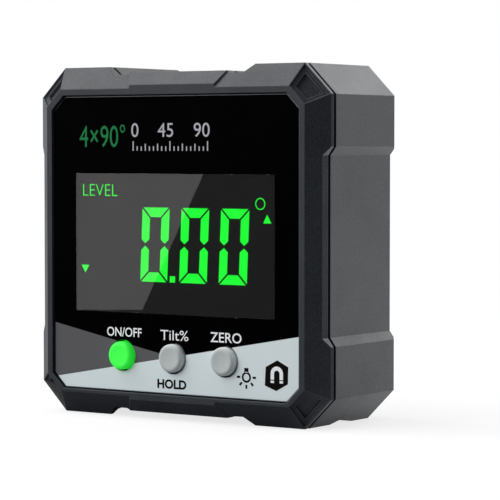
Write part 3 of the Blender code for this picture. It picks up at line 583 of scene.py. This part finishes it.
def makeBoardLaminate():
    material, tree, shader = startMaterial("boardLaminate")
    place = objectPlace(tree)
    flat = addNode(tree, "Mapping", {"Vector": place, "Rotation": (math.radians(90), 0, 0)}).outputs[0]
    cells = addNode(tree, "TexBrick", {
        "Vector": flat, "Scale": boardLook["gridScale"], "Mortar Size": boardLook["trackWidth"],
        "Color1": colour(boardLook["mask"]), "Color2": colour(boardLook["maskToo"]),
        "Mortar": colour(boardLook["track"])})
    grain = placeGroup(tree, moldedGrain, scale=boardLook["grainScale"])
    base = blendColour(tree, boardLook["grainShare"], cells.outputs[0], grain.outputs["tone"], "OVERLAY")
    tree.links.new(base, shader.inputs["Base Color"])
    bump = addNode(tree, "Bump", {"Height": cells.outputs[1], "Strength": boardLook["bump"],
                                  "Distance": boardLook["trackHeight"]})
    tree.links.new(bump.outputs[0], shader.inputs["Normal"])
    setShader(shader, {"Roughness": boardLook["roughness"]})
    return material


boardLaminate = makeBoardLaminate()


# Cell jacket: dark film with a copper-coloured band round both ends
jacketLook = {
    "bandStart": 12.5 * mm,
    "film": (0.02, 0.022, 0.026),
    "band": (0.55, 0.36, 0.09),
    "bandMetallic": 0.8,
    "grainScale": 3000,
    "roughness": 0.3,
}


def makeCellJacket():
    material, tree, shader = startMaterial("cellJacket")
    place = addNode(tree, "SeparateXYZ", {0: objectPlace(tree)}).outputs
    band = calc(tree, "GREATER_THAN", calc(tree, "ABSOLUTE", place["X"]), jacketLook["bandStart"])
    grain = placeGroup(tree, moldedGrain, scale=jacketLook["grainScale"])
    shade = ramp(tree, grain.outputs["tone"], toneEnds, *shades)
    base = blendColour(tree, band, colour(jacketLook["film"]), colour(jacketLook["band"]))
    tree.links.new(blendColour(tree, 1.0, base, shade, "MULTIPLY"), shader.inputs["Base Color"])
    tree.links.new(calc(tree, "MULTIPLY", band, jacketLook["bandMetallic"]), shader.inputs["Metallic"])
    setShader(shader, {"Roughness": jacketLook["roughness"]})
    return material


cellJacket = makeCellJacket()

# The finish of each slot of the CAD part
slotFinish = {
    "case_plastic": casePlastic,
    "panel_plastic": panelPlastic,
    "seal_rubber": sealRubber,
    "display_glass": displayGlass,
    "light_guide": lightGuide,
    "led": ledLens,
    "display_frame": framePlastic,
    "board": boardLaminate,
    "chip": chipResin,
    "green_button": greenSilicone,
    "grey_button": greySilicone,
    "cell_jacket": cellJacket,
    "steel": steel,
    "magnet": magnetNickel,
}
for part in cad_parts.values():
    for place in part.material_slots:
        place.material = slotFinish[place.name.split(".")[0]]
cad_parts["battery_cover"].material_slots[0].material = coverPlastic
print("materials set on", len(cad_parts), "CAD nodes")


# Printing ink with a slight change of tone
inkLook = {
    "grainScale": 9000,
    "roughness": 0.4,
    "specular": 0.03,
}


def inkMaterial(name, dark, light):
    material, tree, shader = startMaterial(name)
    grain = placeGroup(tree, moldedGrain, scale=inkLook["grainScale"])
    tone = ramp(tree, grain.outputs["tone"], toneEnds)
    tree.links.new(blendColour(tree, tone, colour(dark), colour(light)), shader.inputs["Base Color"])
    setShader(shader, {"Roughness": inkLook["roughness"], "Specular IOR Level": inkLook["specular"]})
    return material


whiteInk = inkMaterial("whiteInk", (0.76, 0.78, 0.80), (0.86, 0.88, 0.90))
greyInk = inkMaterial("greyInk", (0.40, 0.40, 0.45), (0.48, 0.48, 0.53))
greenInk = inkMaterial("greenInk", (0.012, 0.17, 0.05), (0.016, 0.21, 0.065))
blackInk = inkMaterial("blackInk", (0.003, 0.0025, 0.002), (0.007, 0.006, 0.0055))

signPlane = {
    "panel": -11.46 * mm,      # just on the face of the panel
    "display": -10.64 * mm,    # just behind the panel, in front of the display cell
    "film": 0.006 * mm,        # half the thickness of ink or segment
}


# Stands a flat shape up on the front, facing out, and fixes its place in its mesh
def standUp(piece, plane, material):
    bpy.ops.object.select_all(action="DESELECT")
    piece.select_set(True)
    bpy.context.view_layer.objects.active = piece
    if piece.type != "MESH":
        bpy.ops.object.convert(target="MESH")
        piece = bpy.context.view_layer.objects.active
    piece.rotation_euler = (math.radians(90), 0, 0)
    piece.location = (0, plane, 0)
    bpy.ops.object.transform_apply(location=True, rotation=True, scale=True)
    piece.data.materials.clear()
    piece.data.materials.append(material)
    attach(piece, "case")
    return piece


# A flat shape from closed loops of (x, z) points in millimetres; inner loops are holes
def flatShape(name, loops, plane, material, slotName):
    data = bpy.data.curves.new(name, "CURVE")
    data.dimensions = "2D"
    data.fill_mode = "BOTH"
    data.extrude = signPlane["film"]
    for loop in loops:
        line = data.splines.new("POLY")
        line.points.add(len(loop) - 1)
        for point, (x, z) in zip(line.points, loop):
            point.co = (x * mm, z * mm, 0, 1)
        line.use_cyclic_u = True
    piece = bpy.data.objects.new(name, data)
    scene.collection.objects.link(piece)
    return standUp(piece, plane, material)


# Words fitted to a box (left, low, right, high) in millimetres
def flatWords(name, words, box, weight, plane, material, slotName):
    bpy.ops.object.select_all(action="DESELECT")
    bpy.ops.object.text_add()
    piece = bpy.context.view_layer.objects.active
    piece.name = name
    piece.data.body = words
    piece.data.size = 2 * mm    # close to the final size, so that the weight holds
    piece.data.offset = weight * mm
    piece.data.resolution_u = 4
    piece.data.extrude = signPlane["film"]
    bpy.ops.object.convert(target="MESH")
    piece = bpy.context.view_layer.objects.active
    corners = [vertex.co for vertex in piece.data.vertices]
    low = [min(corner[axis] for corner in corners) for axis in (0, 1)]
    high = [max(corner[axis] for corner in corners) for axis in (0, 1)]
    wide = (box[2] - box[0]) * mm / (high[0] - low[0])
    tall = (box[3] - box[1]) * mm / (high[1] - low[1])
    for corner in corners:
        corner.x = box[0] * mm + (corner.x - low[0]) * wide
        corner.y = box[1] * mm + (corner.y - low[1]) * tall
    return standUp(piece, plane, material)


def ringPoints(x, z, radius, count=40):
    turns = [2 * math.pi * step / count for step in range(count)]
    return [(x + radius * math.cos(turn), z + radius * math.sin(turn)) for turn in turns]


# The digits, in millimetres
digitLook = {
    "starts": (-6.88, 0.62, 8.06),    # lower left corner of each digit
    "low": 21.4,
    "width": 5.22,
    "height": 11.6,
    "lean": 0.5,       # how far the top stands to the right
    "stroke": 1.5,
    "gap": 0.2,
    "point": 0.63,     # height of the pointed ends at mid height
    "halfGap": 0.2,    # between those ends and mid height
}


# One digit of the display: six lit segments, with the middle one off
def makeDigit(name, start):
    wide, tall = digitLook["width"], digitLook["height"]
    stroke, gap = digitLook["stroke"], digitLook["gap"]
    tip = tall / 2 + digitLook["halfGap"]
    shoulder = tip + digitLook["point"]
    below = tall - stroke
    upright = [(0, tall - gap), (stroke, below - gap), (stroke, shoulder), (stroke / 2, tip), (0, shoulder)]
    bar = [(gap, tall), (wide - gap, tall), (wide - stroke - gap, below), (stroke + gap, below)]
    loops = [
        upright,
        [(wide - x, z) for x, z in upright],
        [(x, tall - z) for x, z in upright],
        [(wide - x, tall - z) for x, z in upright],
        bar,
        [(x, tall - z) for x, z in bar],
    ]
    placed = [[(start + x + z * digitLook["lean"] / tall, digitLook["low"] + z) for x, z in loop]
              for loop in loops]
    flatShape(name, placed, signPlane["display"], segmentGlow, "display_glass")


for place, start in zip(("Left", "Middle", "Right"), digitLook["starts"]):
    makeDigit("digit" + place, start)


# The other lit signs, in millimetres
displaySigns = {
    "point": [(-1.19, 21.41), (-0.16, 21.41), (-0.12, 22.4), (-1.15, 22.4)],
    "ringMiddle": (15.75, 33.81),
    "ringRadii": (0.91, 0.755),
    "upArrow": [(16.27, 30.86), (17.78, 30.89), (17.0, 32.21)],
    "downArrow": [(-18.49, 23.72), (-17.73, 22.47), (-16.96, 23.72)],
    "levelBox": (-18.14, 34.68, -11.33, 36.51),
    "levelWeight": -0.035,
}


def makeDisplaySigns():
    look = displaySigns
    finish = (signPlane["display"], segmentGlow, "display_glass")
    rings = [ringPoints(*look["ringMiddle"], radius) for radius in look["ringRadii"]]
    flatShape("decimalPoint", [look["point"]], *finish)
    flatShape("degreeRing", rings, *finish)
    flatShape("upArrow", [look["upArrow"]], *finish)
    flatShape("downArrow", [look["downArrow"]], *finish)
    flatWords("levelWord", "LEVEL", look["levelBox"], look["levelWeight"], *finish)


makeDisplaySigns()
print("display signs lit")


paneLook = {
    "half": 18.91 * mm,
    "low": 16.5 * mm,
    "high": 38.25 * mm,
    "front": -11.485 * mm,
    "back": -11.455 * mm,
    "edge": 0.006 * mm,
}


# The pane: a thin sheet with softened edges, lying on the window
def makePane():
    bpy.ops.object.select_all(action="DESELECT")
    wide, tall = 2 * paneLook["half"], paneLook["high"] - paneLook["low"]
    deep = paneLook["back"] - paneLook["front"]
    middle = (0, (paneLook["back"] + paneLook["front"]) / 2, (paneLook["high"] + paneLook["low"]) / 2)
    bpy.ops.mesh.primitive_cube_add(size=1, location=middle, scale=(wide, deep, tall))
    pane = bpy.context.view_layer.objects.active
    pane.name = "windowPane"
    bpy.ops.object.transform_apply(location=True, rotation=True, scale=True)
    bpy.ops.object.mode_set(mode="EDIT")
    bpy.ops.mesh.select_all(action="SELECT")
    bpy.ops.mesh.bevel(offset=paneLook["edge"], segments=2, affect="EDGES")
    bpy.ops.object.mode_set(mode="OBJECT")
    pane.data.materials.append(paneGlass)
    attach(pane, "case")


makePane()
print("window pane laid")


# Each word on the panel: its text, its box (left, low, right, high) in millimetres, its weight and ink
panelWords = {
    "powerWord": ("ON/OFF", (-12.8, 12.69, -6.01, 14.14), 0.018, whiteInk),
    "tiltWord": ("Tilt%", (-2.37, 12.5, 2.96, 14.09), 0.0, whiteInk),
    "zeroWord": ("ZERO", (7.09, 12.59, 12.87, 14.14), 0.018, whiteInk),
    "holdWord": ("HOLD", (-2.98, 4.96, 2.57, 6.43), 0.075, blackInk),
    "rangeSign": ("4×90°", (-18.19, 42.37, -9.17, 45.91), 0.0, greenInk),
    "scaleNumbers": ("0    45    90", (-7.96, 43.93, 7.0, 46.1), 0.0, greyInk),
}
for wordName, (words, box, weight, ink) in panelWords.items():
    flatWords(wordName, words, box, weight, signPlane["panel"], ink, "panel_plastic")


# A small rule of tick marks under the numbers, in millimetres
scaleLook = {
    "left": -7.6,
    "right": 6.6,
    "low": 41.8,
    "steps": 18,
    "width": 0.21,
    "heights": ((9, 1.5), (3, 1.1), (1, 0.7)),    # at every so many steps, the tallest first
}


def makeTickScale():
    low, half = scaleLook["low"], scaleLook["width"] / 2
    loops = []
    for step in range(scaleLook["steps"] + 1):
        x = scaleLook["left"] + (scaleLook["right"] - scaleLook["left"]) * step / scaleLook["steps"]
        high = low + next(height for every, height in scaleLook["heights"] if step % every == 0)
        loops.append([(x - half, low), (x + half, low), (x + half, high), (x - half, high)])
    flatShape("tickScale", loops, signPlane["panel"], greyInk, "panel_plastic")


makeTickScale()


# The lamp sign, in millimetres: a ring with a cap and five rays
bulbLook = {
    "x": 13.76,
    "z": 7.54,
    "outer": 0.84,
    "inner": 0.52,
    "capHalf": 0.38,
    "capLow": 0.72,
    "capHigh": 1.42,
    "rays": (-180, -135, -90, -45, 0),
    "rayNear": 1.15,
    "rayFar": 1.75,
    "rayHalf": 0.17,
}


def makeBulbSign():
    x, z, cap = bulbLook["x"], bulbLook["z"], bulbLook["capHalf"]
    low, high = z + bulbLook["capLow"], z + bulbLook["capHigh"]
    loops = [ringPoints(x, z, bulbLook["outer"]), ringPoints(x, z, bulbLook["inner"])]
    loops.append([(x - cap, low), (x + cap, low), (x + cap, high), (x - cap, high)])
    for degrees in bulbLook["rays"]:
        way = Vector((math.cos(math.radians(degrees)), math.sin(math.radians(degrees))))
        side = Vector((-way.y, way.x)) * bulbLook["rayHalf"]
        near = Vector((x, z)) + way * bulbLook["rayNear"]
        far = Vector((x, z)) + way * bulbLook["rayFar"]
        loops.append([tuple(near - side), tuple(near + side), tuple(far + side), tuple(far - side)])
    flatShape("lampSign", loops, signPlane["panel"], blackInk, "panel_plastic")


makeBulbSign()


# The magnet sign, in millimetres: a black six-sided shield with a pale horseshoe
magnetLook = {
    "shield": [(19.38, 10.4), (21.34, 9.45), (21.28, 6.9), (19.2, 5.76), (17.12, 6.5), (17.28, 9.3)],
    "x": 19.3,
    "z": 8.35,
    "outer": 1.12,
    "inner": 0.5,
    "foot": 6.95,
    "footHigh": 0.5,    # the feet with the gap over them
    "footGap": 0.15,
}


def makeMagnetSign():
    look = magnetLook
    x, z, outer, inner = look["x"], look["z"], look["outer"], look["inner"]
    flatShape("magnetShield", [look["shield"]], signPlane["panel"], blackInk, "panel_plastic")
    arc = [math.radians(180 * step / 20) for step in range(21)]
    shoulder = look["foot"] + look["footHigh"]
    shoe = [(x + outer * math.cos(turn), z + outer * math.sin(turn)) for turn in arc]
    shoe += [(x - outer, shoulder), (x - inner, shoulder)]
    shoe += [(x - inner * math.cos(turn), z + inner * math.sin(turn)) for turn in arc]
    shoe += [(x + inner, shoulder), (x + outer, shoulder)]
    loops = [shoe]
    ankle = shoulder - look["footGap"]
    for side in (-1, 1):
        near, far = x + side * inner, x + side * outer
        loops.append([(near, look["foot"]), (far, look["foot"]), (far, ankle), (near, ankle)])
    flatShape("magnetShoe", loops, signPlane["panel"] - 2 * signPlane["film"], whiteInk, "panel_plastic")


makeMagnetSign()
print("panel print made")


# What the floor and the world show to the camera and give to the gauge, in metres
studio = {
    "floorSides": 96,
    "floorReach": 0.45,     # beyond this the white world goes on
    "floorTone": 0.9,       # colour of the floor where the camera sees it shaded
    "floorPale": 0.75,      # share of the floor that is plain white to the camera, close to the gauge
    "floorFade": (0.05, 0.3),          # from that share to plain white
    "floorBounce": 0.2,     # colour of the floor in the light that it gives back
    "floorMirrored": 0.8,   # how white glossy faces see the floor behind the gauge
    "mirroredBack": (-0.006, 0.012),   # where that begins
    "mirroredFar": (0.08, 0.2),        # from here it is all white to them
    "cardRight": (0.018, 0.026),       # near edges of a card on the floor that glossy faces mirror
    "cardBack": (-0.022, -0.014),
    "cardReach": (-0.005, 0.045),      # from near to far on it
    "cardGlow": 0.8,        # how bright it is near
    "cardGlowFar": 2.0,
    "glowTurn": (-0.55, 0.1),          # directions from front to back
    "glowFront": 0.13,      # what glossy faces see in front
    "glowBack": 1.0,        # what they see behind and above
    "fillSide": (-0.8, 0.2, 0.5),      # light comes most from there
    "fillTurn": (-0.4, 0.4),
    "fillLow": 0.1,         # light from the front right
    "fillHigh": 0.8,        # light from the back, the left and above
}


def makeFloor():
    sides, reach = studio["floorSides"], studio["floorReach"]
    bpy.ops.mesh.primitive_circle_add(vertices=sides, radius=reach, fill_type="NGON")
    floor = bpy.context.view_layer.objects.active
    floor.name = "studioFloor"
    material = bpy.data.materials.new("studioFloor")
    material.use_nodes = True
    tree = material.node_tree
    tree.nodes.clear()
    path = addNode(tree, "LightPath").outputs
    place = objectPlace(tree)
    far = addNode(tree, "VectorMath", {0: place}, operation="LENGTH").outputs["Value"]
    across, behind = addNode(tree, "SeparateXYZ", {0: place}).outputs[:2]
    bounce, shaded = [colour((studio[tone],) * 3) for tone in ("floorBounce", "floorTone")]
    tone = blendColour(tree, path["Is Camera Ray"], bounce, shaded)
    plain = addNode(tree, "BsdfDiffuse", {"Color": tone}).outputs[0]
    # the camera sees a pale floor with the gauge's shadow on it
    seen = ramp(tree, far, studio["floorFade"], studio["floorPale"], interpolation_type="SMOOTHSTEP")
    seen = calc(tree, "MULTIPLY", path["Is Camera Ray"], seen)
    # glossy faces see it as bright as the world over it
    away = ramp(tree, behind, studio["mirroredBack"])
    wide = ramp(tree, far, studio["mirroredFar"])
    mirrored = calc(tree, "MAXIMUM", calc(tree, "MULTIPLY", away, studio["floorMirrored"]), wide)
    mirrored = calc(tree, "MULTIPLY", mirrored, path["Is Glossy Ray"])
    glow = ramp(tree, away, low=studio["glowFront"])
    glow = calc(tree, "MAXIMUM", glow, path["Is Camera Ray"])
    # a card that only the faces looking down to the right mirror
    right = ramp(tree, across, studio["cardRight"])
    back = ramp(tree, behind, studio["cardBack"])
    card = calc(tree, "MULTIPLY", calc(tree, "MULTIPLY", right, back), path["Is Glossy Ray"])
    bright = ramp(tree, behind, studio["cardReach"], studio["cardGlow"], studio["cardGlowFar"])
    glow = ramp(tree, card, low=glow, high=bright)
    pale = addNode(tree, "Emission", {"Color": (1, 1, 1, 1), "Strength": glow}).outputs[0]
    share = calc(tree, "MAXIMUM", calc(tree, "MAXIMUM", seen, mirrored), card)
    mixed = addNode(tree, "MixShader", {0: share, 1: plain, 2: pale}).outputs[0]
    # a camera below the floor looks through it
    below = addNode(tree, "NewGeometry").outputs["Backfacing"]
    below = calc(tree, "MULTIPLY", below, path["Is Camera Ray"])
    clear = addNode(tree, "BsdfTransparent").outputs[0]
    mixed = addNode(tree, "MixShader", {0: below, 1: mixed, 2: clear}).outputs[0]
    addNode(tree, "OutputMaterial", {0: mixed})
    floor.data.materials.append(material)


makeFloor()


def makeWorld():
    world = bpy.data.worlds.new("studioWorld")
    scene.world = world
    world.use_nodes = True
    tree = world.node_tree
    tree.nodes.clear()
    path = addNode(tree, "LightPath").outputs
    sky = addNode(tree, "TexCoord").outputs["Generated"]
    way = addNode(tree, "SeparateXYZ", {0: sky}).outputs["Y"]
    lean = addNode(tree, "VectorMath", {0: sky, 1: studio["fillSide"]}, operation="DOT_PRODUCT")
    fill = ramp(tree, lean.outputs["Value"], studio["fillTurn"], studio["fillLow"], studio["fillHigh"])
    ahead = ramp(tree, way, studio["glowTurn"], studio["glowFront"], studio["glowBack"])
    clear = calc(tree, "MAXIMUM", path["Is Glossy Ray"], path["Is Transmission Ray"])
    seen = calc(tree, "MAXIMUM", path["Is Camera Ray"], calc(tree, "MULTIPLY", clear, ahead))
    strength = calc(tree, "MAXIMUM", seen, calc(tree, "MULTIPLY", path["Is Diffuse Ray"], fill))
    glow = addNode(tree, "Background", {"Color": (1, 1, 1, 1), "Strength": strength}).outputs[0]
    addNode(tree, "OutputWorld", {0: glow})


makeWorld()


# Each lamp: place, what it points at, width and height, and how bright its face is
lamps = {
    "topBox": {"place": (-0.5, -0.1, 0.75), "aim": (0, 0, 0.03), "size": (0.5, 0.5), "bright": 5.0},
    "frontBox": {"place": (-0.45, -0.72, 0.45), "aim": (0, 0, 0.03), "size": (0.6, 0.6), "bright": 4.0},
    "rightBack": {"place": (0.65, 0.65, 0.3), "aim": (0, 0, 0.03), "size": (0.5, 0.5), "bright": 2.7},
    "topBack": {"place": (0.1, 0.75, 0.5), "aim": (0, 0, 0.03), "size": (0.5, 0.4), "bright": 3.4},
}


def makeLamp(name, look):
    data = bpy.data.lights.new(name, "AREA")
    data.shape = "RECTANGLE"
    data.size, data.size_y = look["size"]
    data.energy = look["bright"] * math.pi * data.size * data.size_y
    lamp = bpy.data.objects.new(name, data)
    scene.collection.objects.link(lamp)
    lamp.location = look["place"]
    away = Vector(look["place"]) - Vector(look["aim"])
    lamp.rotation_euler = away.to_track_quat("Z", "Y").to_euler()
    lamp.visible_camera = False
    return lamp


for lampName, lampLook in lamps.items():
    makeLamp(lampName, lampLook)


# The softbox whose slanted edge shows in the display, set behind the mirrored camera's view
panelGlow = {
    "plane": -11.485 * mm,
    "edgePixels": ((203, 175), (141.7, 311)),    # two points of its edge in the 500-pixel frame
    "distance": 0.25,
    "aimHeight": 0.0275,
    "width": 0.17,
    "height": 0.24,
    "bright": 0.66,
}


def makeDisplayBox():
    scene.view_layers[0].update()
    camera = scene.camera
    turned = camera.matrix_world.to_3x3()
    focal = photoView["pixels"] * photoView["lens"] / photoView["sensor"]
    centre = photoView["pixels"] / 2
    eye = Vector((camera.location.x, 2 * panelGlow["plane"] - camera.location.y, camera.location.z))
    edge = []
    for column, row in panelGlow["edgePixels"]:
        ray = turned @ Vector((column - centre, centre - row, -focal)).normalized()
        ray.y = -ray.y
        edge.append(eye + ray * ((panelGlow["plane"] - eye.y) / ray.y + panelGlow["distance"]))
    middle = (edge[0] + edge[1]) / 2
    up = (edge[0] - edge[1]).normalized()
    facing = (Vector((0, panelGlow["plane"], panelGlow["aimHeight"])) - middle).normalized()
    facing = (facing - up * facing.dot(up)).normalized()
    across = up.cross(-facing)
    if across.x > 0:
        across = -across
    lamp = makeLamp("displayBox", {"place": (0, 0, 0), "aim": (0, 0, -1), "bright": panelGlow["bright"],
                                   "size": (panelGlow["width"], panelGlow["height"])})
    right = up.cross(-facing)
    turn = [[right[row], up[row], -facing[row]] for row in range(3)]
    lamp.matrix_world = Matrix.Translation(middle + across * panelGlow["width"] / 2) @ Matrix(turn).to_4x4()


makeDisplayBox()
print("studio lit")
